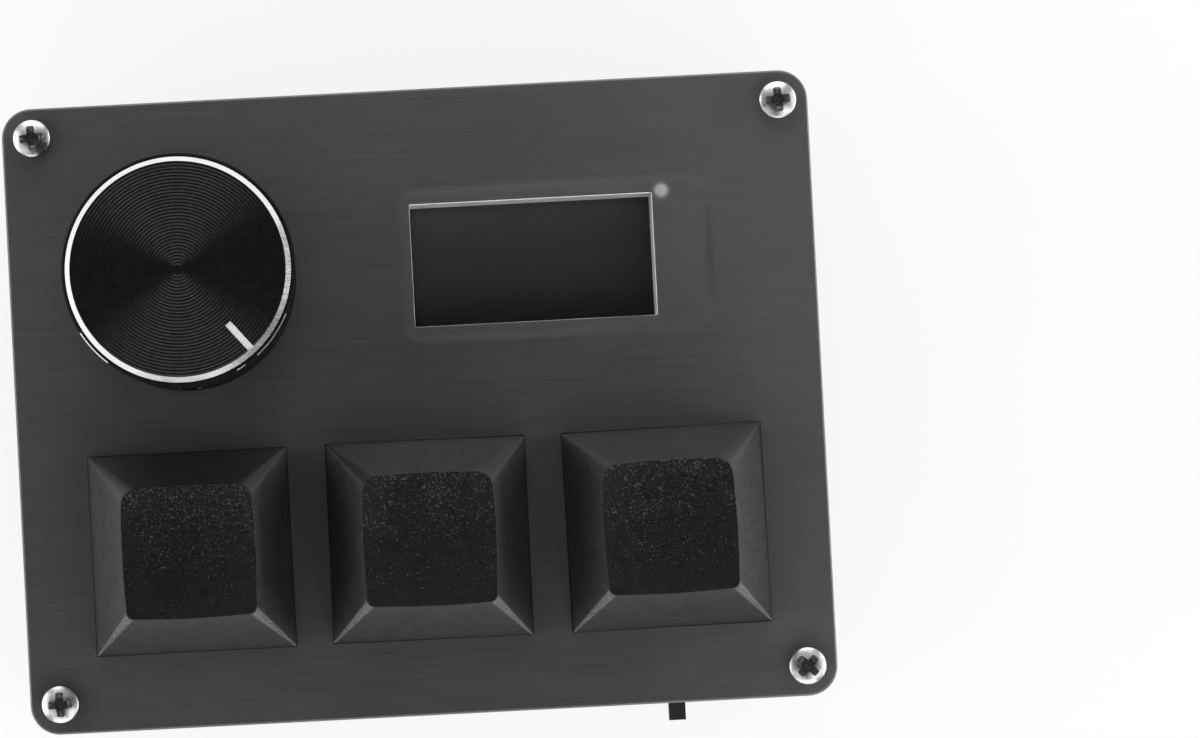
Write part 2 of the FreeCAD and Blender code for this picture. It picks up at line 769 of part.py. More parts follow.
def make_screen():
    """Glass, frame, gasket, holder and flex of the small landscape screen."""
    glass = Piece("screen_glass")
    glass.pad("pane", [box(screen_x, window_y, d.screen_long - d.screen_rim,
                           d.screen_tall - d.screen_rim)],
              screen_glass_top - d.screen_glass_thick, screen_glass_top)
    frame = Piece("screen_frame")
    frame.pad("tray", [box(screen_x, window_y, d.screen_long, d.screen_tall)], screen_low,
              screen_glass_top - d.screen_glass_thick)
    gasket = Piece("screen_gasket")
    rim_wide = d.window_wide + d.gasket_rim * 2
    rim_tall = d.window_tall + d.gasket_rim * 2
    gasket.pad("foam", [box(window_x, window_y, rim_wide, rim_tall),
                        box(window_x, window_y, d.window_wide, d.window_tall)],
               screen_glass_top, panel_low)
    holder = Piece("screen_holder")
    holder.pad("block", [box(screen_x, window_y, holder_wide, holder_deep)], board_top,
               screen_glass_top - d.screen_glass_thick)
    seat = box(screen_x, window_y, d.screen_long + holder_fit, d.screen_tall + holder_fit)
    holder.pocket("seat", [seat], screen_low, panel_low)
    room = box(screen_x, window_y, d.screen_long - d.holder_ledge * 2,
               d.screen_tall - d.holder_ledge * 2)
    holder.pocket("room", [room], board_top - d.overrun, screen_low + d.overrun)
    flex_way = box(screen_x + d.screen_long / 2, window_y, d.flex_way_long,
                   d.flex_wide + d.overrun)
    holder.pocket("flex_way", [flex_way], board_top - d.overrun, screen_low + d.overrun)
    flex = Piece("screen_flex")
    start = screen_x + d.screen_long / 2 - d.flex_lap
    far = screen_x + d.screen_long / 2 + d.hole_fit
    low, thick = board_top, d.flex_thick
    ribbon = polygon((start, screen_low - thick), (far, screen_low - thick), (far, low + thick),
                     (start, low + thick), (start, low), (far + thick, low),
                     (far + thick, screen_low), (start, screen_low))
    flex.pad("ribbon", [ribbon], -window_y - d.flex_wide / 2, -window_y + d.flex_wide / 2,
             "XZ_Plane")


# Key switches and keycaps

def make_key(word, x, twist):
    """One key: switch housings fixed to the board, and the stem, spring and cap that move."""
    make_switch_base(f"{word}_switch_base").place(x, key_y, board_top)
    make_switch_top(f"{word}_switch_top").place(x, key_y, board_top)
    make_switch_contacts(f"{word}_switch_contacts").place(x, key_y, board_top)
    make_switch_stem(f"{word}_switch_stem").place(x, key_y, board_top, twist)
    make_switch_spring(f"{word}_switch_spring").place(x, key_y, board_top)
    make_keycap(f"{word}_keycap").place(x, key_y, board_top, twist)


def make_switch_base(label):
    """The lower housing: a walled box with a flange, a guide post and slots for the pins."""
    base = Piece(label)
    base.pad("body", [box(0, 0, d.switch_body, d.switch_body)], ZERO, d.flange_rise)
    base.pad("flange", [box(0, 0, d.switch_flange, d.switch_flange)], d.flange_rise,
             d.flange_rise + d.flange_thick / 2)
    room = d.switch_body - d.switch_skin * 2
    base.pocket("room", [box(0, 0, room, room)], d.switch_floor, d.switch_tall)
    base.pad("guide_post", [facets(0, 0, d.guide_post_across, 8)], -d.guide_post_long, ZERO)
    slots = [box(x, y, d.pin_across + d.hole_fit, d.pin_thick + d.hole_fit)
             for x, y in pin_places()]
    base.pocket("pin_slots", slots, -d.overrun, d.switch_floor + d.overrun)
    return base


def make_switch_top(label):
    """The upper housing: a sloping hood with the way for the stem and the keycap's socket."""
    top = Piece(label)
    low = d.flange_rise + d.flange_thick / 2
    shoulder = low + d.flange_thick / 2
    roof = d.switch_tall - d.switch_skin
    top.pad("hood", [box(0, 0, d.switch_body, d.switch_body)], shoulder, d.switch_tall)
    top.slope("hood_sides", d.switch_body, d.switch_top, shoulder, d.switch_tall)
    top.pad("flange", [box(0, 0, d.switch_flange, d.switch_flange)], low, shoulder)
    step_share = (d.hood_step_rise - shoulder) / (d.switch_tall - shoulder)
    room = d.switch_body - (d.switch_body - d.switch_top) * step_share - d.hood_skin * 2
    top.pocket("lower_room", [box(0, 0, room, room)], low - d.overrun, d.hood_step_rise)
    room = d.switch_top - d.hood_skin * 2
    top.pocket("upper_room", [box(0, 0, room, room)], low - d.overrun, roof)
    way_wide = d.stem_wide + d.stem_fit * 2
    way_deep = d.cap_socket_across + d.socket_way_gap * 2
    top.pocket("stem_way", [box(0, 0, way_wide, way_deep)], roof - d.overrun,
               d.switch_tall + d.overrun)
    return top


def make_switch_contacts(label):
    """The two contact pins that go through the board, with their short upright ends."""
    contacts = Piece(label)
    blades = [box(x, y, d.pin_across, d.pin_thick) for x, y in pin_places()]
    contacts.pad("pins", blades, -d.guide_post_long, d.contact_rise)
    return contacts


def make_switch_stem(label):
    """The slider: a block with side wings below, and the cross that carries the cap."""
    stem = Piece(label)
    shoulder = d.switch_tall
    skirt_low = d.switch_floor + d.key_travel + d.stem_low_gap
    stem.pad("block", [box(0, 0, d.stem_wide, d.stem_deep)], skirt_low, shoulder)
    wings = d.stem_wide + d.stem_wing * 2
    stem.pad("wings", [box(0, 0, wings, d.stem_wing_deep)], skirt_low,
             d.switch_tall - d.switch_skin - d.stem_fit)
    bore = d.spring_across + d.stem_fit * 2
    stem.pocket("spring_bore", [facets(0, 0, bore, 8)], skirt_low - d.overrun,
                shoulder - d.spring_seat)
    stem.pad("cross_x", [box(0, 0, d.cross_long, d.cross_wide_x)], shoulder,
             shoulder + d.cross_tall)
    stem.pad("cross_y", [box(0, 0, d.cross_wide_y, d.cross_long)], shoulder,
             shoulder + d.cross_tall)
    return stem


def make_switch_spring(label):
    """The return spring's sleeve, from the lower housing's floor to the top of the stem's bore."""
    spring = Piece(label)
    outline = [facets(0, 0, across, 8)
               for across in (d.spring_across, d.spring_across - d.spring_wire * 2)]
    spring.pad("sleeve", outline, d.switch_floor, d.switch_tall - d.spring_seat)
    return spring


def make_keycap(label):
    """A hollow cap: four sloping sides, corners that widen upwards, and a shallow dish on top."""
    cap = Piece(label)
    low = panel_top - board_top - d.cap_sunk
    foot = low + d.cap_skirt
    high = low + d.cap_tall
    cap.pad("block", [box(0, 0, d.cap_base, d.cap_base)], low, high)
    cap.slope("sides", d.cap_base, d.cap_top, foot, high)
    base_corner = d.cap_base * diagonal_share - d.cap_corner_base
    top_corner = d.cap_top * diagonal_share - d.cap_corner_top
    far = base_corner + d.overrun
    outline = polygon((base_corner, foot), (far, foot), (far, high), (top_corner, high))
    cap.turned("Groove", "corners", outline)
    dish = cap.feature("SubtractiveSphere", "dish")
    dish.Placement.Rotation = FreeCAD.Rotation(FreeCAD.Vector(1, 0, 0), 90)
    bind(dish, "Radius", d.dish_radius)
    bind(dish, "Placement.Base.z", high - d.dish_deep + d.dish_radius)
    doc.recompute()
    slope_share = (d.cap_base - d.cap_top) / (high - foot)
    roof = low + d.cap_roof_rise
    for word, top in (("lower_room", low + d.cap_step_rise), ("upper_room", roof)):
        room = d.cap_base - d.cap_skin * 2 - (top - foot) * slope_share
        cap.pocket(word, [box(0, 0, room, room)], low - d.overrun, top)
    stem_top = d.switch_tall
    cap.pad("socket", [disc(0, 0, d.cap_socket_across)], stem_top, roof)
    slot_top = stem_top + d.cross_tall + d.hole_fit
    fit = d.cross_fit * 2
    cap.pocket("cross_way_x", [box(0, 0, d.cross_long + fit, d.cross_wide_x + fit)],
               stem_top - d.overrun, slot_top)
    cap.pocket("cross_way_y", [box(0, 0, d.cross_wide_y + fit, d.cross_long + fit)],
               stem_top - d.overrun, slot_top)
    return cap


# Rotary encoder and knob

def make_encoder():
    """Base, frame, bushing and terminals on the board; plunger and shaft move inside them."""
    base_top = d.encoder_base_tall
    base = Piece("encoder_base")
    block_wide = d.encoder_wide - d.encoder_leg_thick * 2 - d.encoder_leg_gap * 2
    base.pad("block", [box(0, 0, block_wide, d.encoder_deep)], ZERO, base_top)
    base.pocket("rotor_room", [disc(0, 0, d.rotor_room)], d.encoder_floor + d.plunger_tall,
                base_top + d.overrun)
    base.pocket("plunger_well", [disc(0, 0, d.plunger_across + d.plunger_fit * 2)],
                d.encoder_floor, base_top)
    base.place(knob_x, knob_y, board_top)
    frame = Piece("encoder_frame")
    frame.pad("plate", [box(0, 0, d.encoder_wide, d.encoder_deep)], base_top,
              base_top + d.encoder_plate)
    leg_x = d.encoder_wide / 2 - d.encoder_leg_thick / 2
    legs = [box(side, 0, d.encoder_leg_thick, d.encoder_leg_wide) for side in (-leg_x, leg_x)]
    frame.pad("legs", legs, ZERO, base_top)
    frame.pocket("shaft_way", [disc(0, 0, d.shaft_across + d.turn_fit * 2)], base_top - d.overrun,
                 base_top + d.encoder_plate + d.overrun)
    frame.place(knob_x, knob_y, board_top)
    bushing = Piece("encoder_bushing")
    bore = d.shaft_across + d.turn_fit * 2
    bushing.pad("sleeve", [disc(0, 0, d.bushing_across), disc(0, 0, bore)],
                base_top + d.encoder_plate, knob_insert_low - d.bushing_top_gap - board_top)
    bushing.place(knob_x, knob_y, board_top)
    terminals = Piece("encoder_terminals")
    gap = d.encoder_deep / 2 + d.pin_thick / 2
    spots = [(d.terminal_pitch * k, gap) for k in (-1, 0, 1)]
    spots += [(d.terminal_pitch * k, -gap) for k in (-1, 1)]
    terminals.pad("pins", [box(x, y, d.pin_across, d.pin_thick) for x, y in spots], ZERO,
                  d.terminal_tall)
    terminals.place(knob_x, knob_y, board_top)


def make_encoder_moving_parts():
    """The plunger that is pressed, and on it the D-cut shaft with its rotor."""
    rest = d.encoder_floor + d.press_travel + d.turn_fit
    plunger = Piece("encoder_plunger")
    plunger.pad("button", [disc(0, 0, d.plunger_across)], rest, rest + d.plunger_tall)
    plunger.place(knob_x, knob_y, board_top)
    shaft = Piece("encoder_shaft")
    foot = rest + d.plunger_tall
    top = knob_roof_low - d.shaft_top_gap - board_top
    shaft.pad("rod", [disc(0, 0, d.shaft_across)], foot, top)
    rotor_low = foot + d.rotor_lift
    shaft.pad("rotor", [disc(0, 0, d.rotor_across)], rotor_low, rotor_low + d.rotor_thick)
    flat_y = d.shaft_across / 2 - d.shaft_flat_deep
    far = d.shaft_across
    flat = polygon((-far, -far), (far, -far), (far, -flat_y), (-far, -flat_y))
    flat_low = knob_insert_low + d.shaft_flat_rise - board_top
    shaft.pocket("flat", [flat], flat_low, top + d.overrun)
    shaft.place(knob_x, knob_y, board_top)


def make_knob():
    """A turned aluminium shell with a cut ring and pointer, its plastic insert and set screw."""
    radius = d.knob_across / 2
    room = radius - d.knob_skin
    screw_z = knob_low + d.set_screw_rise
    knob = Piece("knob_body")
    ring = d.knob_cut_ring
    ledge = radius - d.knob_cut_ledge
    outline = polygon((room, knob_low), (radius, knob_low),
                      (radius, knob_top - ring - d.knob_cut_ledge), (ledge, knob_top - ring),
                      (ledge - ring, knob_top), (0, knob_top), (0, knob_roof_low),
                      (room, knob_roof_low))
    knob.turned("Revolution", "shell", outline)
    inner = radius - d.knob_cut_ledge - ring - d.pointer_long
    mark = box(inner + d.pointer_long / 2, 0, d.pointer_long, d.pointer_wide)
    knob.pocket("pointer", [mark], knob_top - d.pointer_deep, knob_top + d.overrun,
                turn=d.pointer_turn)
    knob.pocket("screw_hole", [disc(0, screw_z, d.set_screw_across)], room - d.overrun,
                radius + d.overrun, "XZ_Plane")
    knob.place(knob_x, knob_y, ZERO)
    insert = Piece("knob_insert")
    insert.pad("core", [disc(0, 0, room * 2)], knob_insert_low, knob_roof_low)
    flat_y = d.shaft_across / 2 - d.shaft_flat_deep + d.turn_fit
    bore = d.shaft_across + d.turn_fit * 2
    bore_top = knob_roof_low - d.shaft_top_gap + d.turn_fit
    insert.pocket("shaft_bore", [disc(0, 0, bore)], knob_insert_low - d.overrun, bore_top)
    far = bore / 2 + d.turn_fit
    flat = polygon((-far, -far), (far, -far), (far, -flat_y), (-far, -flat_y))
    insert.pad("bore_flat", [flat], knob_insert_low + d.shaft_flat_rise + d.shaft_flat_gap,
               bore_top)
    hole = disc(0, screw_z, d.set_screw_across)
    insert.pocket("screw_hole", [hole], ZERO, radius, "XZ_Plane")
    insert.place(knob_x, knob_y, ZERO)
    screw = Piece("knob_set_screw")
    thread = d.set_screw_across - d.hairline * 2
    tip = d.shaft_across / 2 - d.shaft_flat_deep + d.turn_fit
    end = tip + d.set_screw_long
    screw.pad("grub", [disc(0, screw_z, thread)], tip, end, "XZ_Plane")
    screw.pocket("hex_socket", [facets(0, screw_z, d.hex_across, 6)], end - d.hex_deep,
                 end + d.overrun, "XZ_Plane")
    screw.place(knob_x, knob_y, ZERO)


def make_all():
    make_case_tub()
    make_top_panel()
    make_fasteners()
    make_feet()
    make_main_board()
    make_usb_socket()
    make_slide_switch()
    make_board_parts()
    make_screen()
    for word, (x, twist) in key_places.items():
        make_key(word, x, twist)
    make_encoder()
    make_encoder_moving_parts()
    make_knob()


def check_and_write():
    """Stop on any failed feature or bad solid, then write each sub-part to its file."""
    doc.recompute()
    for thing in doc.Objects:
        if "Invalid" in thing.State or "Error" in thing.State:
            raise RuntimeError(f"{thing.Name} failed: {thing.State}")
    os.makedirs("parts", exist_ok=True)
    for piece in Piece.made:
        shape = piece.Shape
        if shape.isNull() or not shape.isValid() or not shape.Solids:
            raise RuntimeError(f"{piece.Label} is not a valid solid")
        shape.exportStep(f"parts/{piece.Label}.step")
        print(f"{piece.Label}: {len(shape.Solids)} solids, {shape.Volume:.2f} mm3")


make_all()
check_and_write()
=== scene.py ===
"""Looks of the small control pad: its own detailed meshes, materials, light and camera."""
import math

import bmesh
import bpy
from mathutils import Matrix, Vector


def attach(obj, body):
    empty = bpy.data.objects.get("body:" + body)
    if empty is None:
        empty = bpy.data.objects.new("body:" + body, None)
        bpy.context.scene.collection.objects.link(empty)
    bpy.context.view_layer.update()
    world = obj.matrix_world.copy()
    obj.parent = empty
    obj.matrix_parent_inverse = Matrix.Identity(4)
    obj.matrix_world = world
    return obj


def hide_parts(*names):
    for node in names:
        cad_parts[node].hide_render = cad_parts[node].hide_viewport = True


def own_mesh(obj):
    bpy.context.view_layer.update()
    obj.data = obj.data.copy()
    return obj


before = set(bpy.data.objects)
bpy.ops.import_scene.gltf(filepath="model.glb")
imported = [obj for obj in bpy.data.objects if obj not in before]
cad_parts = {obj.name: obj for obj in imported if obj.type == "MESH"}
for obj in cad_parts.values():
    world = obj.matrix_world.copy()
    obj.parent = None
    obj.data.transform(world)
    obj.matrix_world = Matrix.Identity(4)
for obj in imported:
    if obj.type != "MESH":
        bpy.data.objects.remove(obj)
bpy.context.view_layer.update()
MM = 0.001
key_y = -11.575
pip_place = (22.93, 19.0)

# Camera, as the photograph was taken: nearly square on, from far above

camera_data = bpy.data.cameras.new("camera")
camera = bpy.data.objects.new("camera", camera_data)
bpy.context.scene.collection.objects.link(camera)
camera.location = (-3.0 * MM, -14.1 * MM, 460.0 * MM)
camera.rotation_euler = (math.radians(0.84), 0.0, math.radians(-2.982))
camera_data.lens = 145.49
camera_data.shift_x = 0.1709
camera_data.shift_y = 0.1075
camera_data.clip_start = 0.01
camera_data.clip_end = 20.0
bpy.context.scene.camera = camera
bpy.context.scene.view_settings.view_transform = "Standard"


# Nodes of the materials

class Surface:
    """A Principled material whose detail comes from nodes in the object's own millimetres."""

    def __init__(self, name, **constants):
        self.material = bpy.data.materials.new(name)
        self.material.use_nodes = True
        self.tree = self.material.node_tree
        self.shader = self.tree.nodes["Principled BSDF"]
        for socket, value in constants.items():
            self.shader.inputs[socket.replace("_", " ")].default_value = value
        self.place = self.node("ShaderNodeTexCoord").outputs["Object"]

    def node(self, kind, **settings):
        made = self.tree.nodes.new(kind)
        for key, value in settings.items():
            setattr(made, key, value)
        return made

    def join(self, output, target):
        self.tree.links.new(output, target)

    def stretched(self, sizes, centre=(0.0, 0.0, 0.0)):
        """The place measured in steps of the given sizes, in millimetres."""
        move = self.node("ShaderNodeMapping", vector_type="TEXTURE")
        self.join(self.place, move.inputs["Vector"])
        move.inputs["Location"].default_value = [c * MM for c in centre]
        move.inputs["Scale"].default_value = [s * MM for s in sizes]
        return move.outputs["Vector"]

    def noise(self, sizes, detail=2.0, roughness=0.5):
        if not isinstance(sizes, tuple):
            sizes = (sizes,) * 3
        made = self.node("ShaderNodeTexNoise")
        self.join(self.stretched(sizes), made.inputs["Vector"])
        made.inputs["Scale"].default_value = 1.0
        made.inputs["Detail"].default_value = detail
        made.inputs["Roughness"].default_value = roughness
        return made.outputs["Fac"]

    def remap(self, value, low, high, to_low, to_high):
        made = self.node("ShaderNodeMapRange")
        self.join(value, made.inputs["Value"])
        for key, number in (("From Min", low), ("From Max", high),
                            ("To Min", to_low), ("To Max", to_high)):
            made.inputs[key].default_value = number
        return made.outputs["Result"]

    def sums(self, operation, first, second):
        made = self.node("ShaderNodeMath", operation=operation)
        for socket, value in zip(made.inputs, (first, second)):
            if isinstance(value, (int, float)):
                socket.default_value = value
            else:
                self.join(value, socket)
        return made.outputs["Value"]

    def tint(self, value, dark, light, low=0.35, high=0.65, more=()):
        """Base colour from dark to light as the value goes from low to high, then on to more."""
        ramp = self.node("ShaderNodeValToRGB")
        self.join(value, ramp.inputs["Fac"])
        ends = ramp.color_ramp.elements
        ends[0].position, ends[1].position = low, high
        ends[0].color, ends[1].color = (*dark, 1.0), (*light, 1.0)
        for place, colour in more:
            ends.new(place).color = (*colour, 1.0)
        self.join(ramp.outputs["Color"], self.shader.inputs["Base Color"])

    def rough(self, value, low, high):
        self.join(self.remap(value, 0.3, 0.7, low, high), self.shader.inputs["Roughness"])

    def bump(self, *layers):
        """Layers of (height, depth in millimetres), one on another."""
        normal = None
        for height, depth in layers:
            made = self.node("ShaderNodeBump")
            made.inputs["Strength"].default_value = 1.0
            made.inputs["Distance"].default_value = depth * MM
            self.join(height, made.inputs["Height"])
            if normal is not None:
                self.join(normal, made.inputs["Normal"])
            normal = made.outputs["Normal"]
        self.join(normal, self.shader.inputs["Normal"])


def grey(level, blue=1.0):
    return (level, level, level * blue)


def moulded(name, level, roughness, grain=0.12, depth=0.006, blue=1.0, spread=0.12, **more):
    """Moulded plastic: a fine grain, slightly uneven gloss, and a faint cloudiness."""
    made = Surface(name, **more)
    fine = made.noise(grain, 3.0, 0.6)
    cloud = made.noise(4.0, 3.0)
    made.tint(cloud, grey(level * (1 - spread), blue), grey(level * (1 + spread), blue))
    made.rough(made.noise(grain * 4, 3.0), roughness * 0.9, roughness * 1.12)
    made.bump((fine, depth))
    return made.material


def metal(name, colour, roughness, streak=(3.0, 0.12, 3.0), depth=0.002):
    """Worked metal with drawn or brushed lines in one direction."""
    made = Surface(name, Metallic=1.0)
    lines = made.noise(streak, 4.0, 0.65)
    made.tint(lines, tuple(c * 0.9 for c in colour), tuple(min(1.0, c * 1.08) for c in colour))
    made.rough(lines, roughness * 0.8, roughness * 1.25)
    made.bump((lines, depth))
    return made.material


def panel_surface():
    """Anodised plate with painted light: lighter towards the right and the rear, painted light and
    shade on the zone round the screen, and a painted glint on the pip beside it.
    """
    made = Surface("panel_anodised", Metallic=0.2, Specular_IOR_Level=0.5)
    lines = made.noise((14.0, 0.16, 3.0), 4.0, 0.62)
    cloud = made.noise(14.0, 2.0)
    mixed = made.sums("ADD", made.sums("MULTIPLY", lines, 0.6), made.sums("MULTIPLY", cloud, 0.4))
    # Painted light: the plate is made lighter towards the right and towards the rear, on top of its
    # streaks and random cloud.
    across = made.node("ShaderNodeSeparateXYZ")
    made.join(made.stretched((74.0, 74.0, 74.0)), across.inputs["Vector"])
    right = made.remap(across.outputs["X"], 0.12, 0.45, -0.08, 0.36)
    slow = made.sums("ADD", made.sums("ADD", mixed, right),
                     made.remap(across.outputs["Y"], 0.08, 0.36, 0.0, 0.26))
    # Painted light and shade of the zone round the screen, carried by a mesh attribute.
    zone_painted_shading = made.node("ShaderNodeAttribute", attribute_name="zone_painted_shading").outputs["Fac"]
    slow = made.sums("MINIMUM", made.sums("MULTIPLY", made.sums("ADD", slow, zone_painted_shading), 0.5), 0.45)
    # Painted highlight: a bright glint painted round the pip beside the screen.
    painted_glint_spot = made.node("ShaderNodeTexGradient", gradient_type="SPHERICAL")
    made.join(made.stretched((1.0, 1.0, 1.0), centre=(*pip_place, 20.1)), painted_glint_spot.inputs["Vector"])
    glow = made.sums("MULTIPLY", painted_glint_spot.outputs["Fac"], 0.95)
    made.tint(made.sums("ADD", slow, glow), grey(0.048), grey(0.088), 0.1, 0.45,
              [(0.7, grey(0.14)), (1.0, grey(0.43))])
    made.rough(made.noise((5.0, 0.3, 3.0), 3.0), 0.38, 0.46)
    made.bump((lines, 0.0012), (made.noise(0.11, 3.0, 0.7), 0.0012))
    return made.material


def cap_side_surface():
    """Satin sides, with painted highlights on the front corners."""
    made = Surface("key_abs_side", Specular_IOR_Level=0.42)
    painted_corner_highlight = made.node("ShaderNodeAttribute", attribute_name="painted_corner_highlight").outputs["Fac"]
    grain = made.noise(0.16, 2.0, 0.6)
    speckle = made.remap(grain, 0.42, 0.66, 0.0, 1.0)
    # Painted highlight: the marked front corners are made lighter, speckled by the grain.
    bright = made.sums("MULTIPLY", painted_corner_highlight, made.sums("ADD", made.sums("MULTIPLY", speckle, 0.7), 0.3))
    cloud = made.sums("MULTIPLY", made.noise(2.2, 3.0), 0.1)
    made.tint(made.sums("ADD", bright, cloud), grey(0.009), grey(0.11), 0.0, 1.0)
    made.rough(made.noise(0.6, 3.0), 0.40, 0.52)
    made.bump((grain, 0.004), (made.noise(0.035, 1.0), 0.0012))
    return made.material


def cap_top_surface():
    """Sand-textured top: dark, with painted glints on its fine grains, more of them towards the
    rear.
    """
    made = Surface("key_abs_top", Specular_IOR_Level=0.22)
    grain = made.noise(0.20, 2.0, 0.7)
    patch = made.noise(2.6, 3.0, 0.6)
    # Painted light: more grains are painted as glints towards the rear; the patches are random
    # tone.
    rear = made.node("ShaderNodeSeparateXYZ")
    made.join(made.stretched((12.0, 12.0, 12.0), centre=(0.0, key_y, 0.0)), rear.inputs["Vector"])
    uneven = made.sums("ADD", made.sums("MULTIPLY", patch, 0.25),
                       made.sums("MULTIPLY", rear.outputs["Y"], 0.10))
    lit = made.remap(made.sums("ADD", grain, uneven), 0.72, 0.85, 0.0, 1.0)
    made.tint(lit, grey(0.0055), grey(0.075), 0.0, 1.0)
    made.rough(made.noise(0.6, 3.0), 0.42, 0.55)
    made.bump((grain, 0.010), (made.noise(0.05, 1.0), 0.002))
    return made.material


def board_surface():
    made = Surface("board_lacquer", Roughness=0.28, Coat_Weight=0.4, Coat_Roughness=0.15)
    weave = made.node("ShaderNodeTexWave", wave_type="BANDS", bands_direction="X")
    made.join(made.stretched((0.9, 0.9, 0.9)), weave.inputs["Vector"])
    weave.inputs["Scale"].default_value = 1.0
    weave.inputs["Distortion"].default_value = 1.5
    both = made.sums("MULTIPLY", weave.outputs["Fac"], made.noise(0.5, 3.0))
    made.tint(both, (0.004, 0.045, 0.022), (0.010, 0.085, 0.045), 0.1, 0.6)
    made.bump((both, 0.004))
    return made.material


def glass_surface():
    made = Surface("screen_cover_glass", Specular_IOR_Level=0.5, Coat_Weight=0.3,
                   Coat_Roughness=0.02)
    smear = made.noise((9.0, 6.0, 6.0), 3.0, 0.6)
    # Painted reflection: the glass is made lighter towards the rear, with random smears.
    depth = made.node("ShaderNodeSeparateXYZ")
    made.join(made.stretched((1.0, 11.1, 1.0), centre=(0.0, 7.725, 0.0)), depth.inputs["Vector"])
    painted_reflection = made.sums("ADD", depth.outputs["Y"], made.sums("MULTIPLY", smear, 0.1))
    made.tint(painted_reflection, grey(0.018), grey(0.060), 0.1, 0.95)
    made.rough(smear, 0.04, 0.10)
    made.bump((made.noise(12.0, 1.0), 0.010))
    return made.material


def knob_surface():
    made = Surface("knob_dyed", Metallic=0.82, Specular_IOR_Level=0.5)
    turned = made.noise(0.5, 3.0)
    made.tint(turned, grey(0.034), grey(0.046))
    made.rough(made.noise(0.9, 3.0), 0.12, 0.19)
    made.bump((made.noise((1.2, 1.2, 0.05), 2.0), 0.0006))
    return made.material


def knob_wall_surface():
    """Matt black side, which swallows the light between its fine upright ridges."""
    made = Surface("knob_side", Specular_IOR_Level=0.03)
    lines = made.noise((0.25, 0.25, 4.0), 3.0)
    made.tint(lines, grey(0.003), grey(0.006))
    made.rough(lines, 0.5, 0.65)
    made.bump((lines, 0.01))
    return made.material


panel_material = panel_surface()
cap_side_material, cap_top_material = cap_side_surface(), cap_top_surface()
knob_material, knob_wall_material = knob_surface(), knob_wall_surface()
tub_material = moulded("tub_abs", 0.018, 0.48, grain=0.22, depth=0.012,
                       Specular_IOR_Level=0.3)
black_material = moulded("black_nylon", 0.014, 0.5)
lever_material = moulded("lever_nylon", 0.006, 0.6, grain=0.15, depth=0.012)
paint_material = moulded("pointer_paint", 0.80, 0.5, grain=0.1, depth=0.004, spread=0.05)
white_material = moulded("white_resin", 0.72, 0.42, blue=0.96, spread=0.05)
brown_material = moulded("brown_resin", 0.06, 0.45, blue=0.45)
chip_material = moulded("chip_resin", 0.02, 0.6, grain=0.08, depth=0.01)
rubber_material = moulded("foot_rubber", 0.016, 0.75, grain=0.3, depth=0.02)
foam_material = moulded("gasket_foam", 0.02, 0.9, grain=0.25, depth=0.08)
film_material = moulded("amber_film", 0.12, 0.3, blue=0.2)
cut_material = metal("cut_aluminium", grey(0.86), 0.26, (2.0, 0.05, 2.0), 0.001)
wall_material = metal("milled_aluminium", grey(0.70), 0.60, (3.0, 3.0, 0.12), 0.004)
nickel_material = metal("screw_nickel", grey(0.36), 0.30, (0.3, 0.3, 0.3), 0.004)
shell_material = metal("shell_steel", grey(0.60), 0.28)
wire_material = metal("spring_wire", grey(0.52), 0.25, (0.2, 0.2, 1.5))
brass_material = metal("tinned_brass", (0.72, 0.58, 0.34), 0.3)
glass_material = glass_surface()
board_material = board_surface()

surfaces_of = {
    "case_tub": tub_material, "board_screws": shell_material, "rubber_feet": rubber_material,
    "main_board": board_material, "usb_socket_shell": shell_material,
    "usb_socket_tongue": black_material, "slide_switch_shell": shell_material,
    "slide_switch_base": brown_material, "slide_switch_lever": lever_material,
    "controller_chip": chip_material, "crystal_can": shell_material,
    "small_board_parts": chip_material, "screen_glass": glass_material,
    "screen_frame": white_material, "screen_gasket": foam_material,
    "screen_holder": black_material, "screen_flex": film_material,
    "encoder_base": black_material, "encoder_frame": shell_material,
    "encoder_bushing": shell_material, "encoder_terminals": brass_material,
    "encoder_plunger": white_material, "encoder_shaft": shell_material,
    "knob_insert": black_material, "knob_set_screw": shell_material,
}
for word in ("left", "middle", "right"):
    surfaces_of |= {f"{word}_switch_base": black_material, f"{word}_switch_top": black_material,
                    f"{word}_switch_contacts": brass_material,
                    f"{word}_switch_stem": brown_material}
for name, material in surfaces_of.items():
    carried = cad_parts[name]
    carried.data.materials.clear()
    carried.data.materials.append(material)


# Mesh helpers, all in millimetres

def shade(data, sharp):
    """Smooth shading, with edges sharper than the given degrees kept crisp."""
    for face in data.polygons:
        face.use_smooth = True
    data.set_sharp_from_angle(angle=math.radians(sharp))


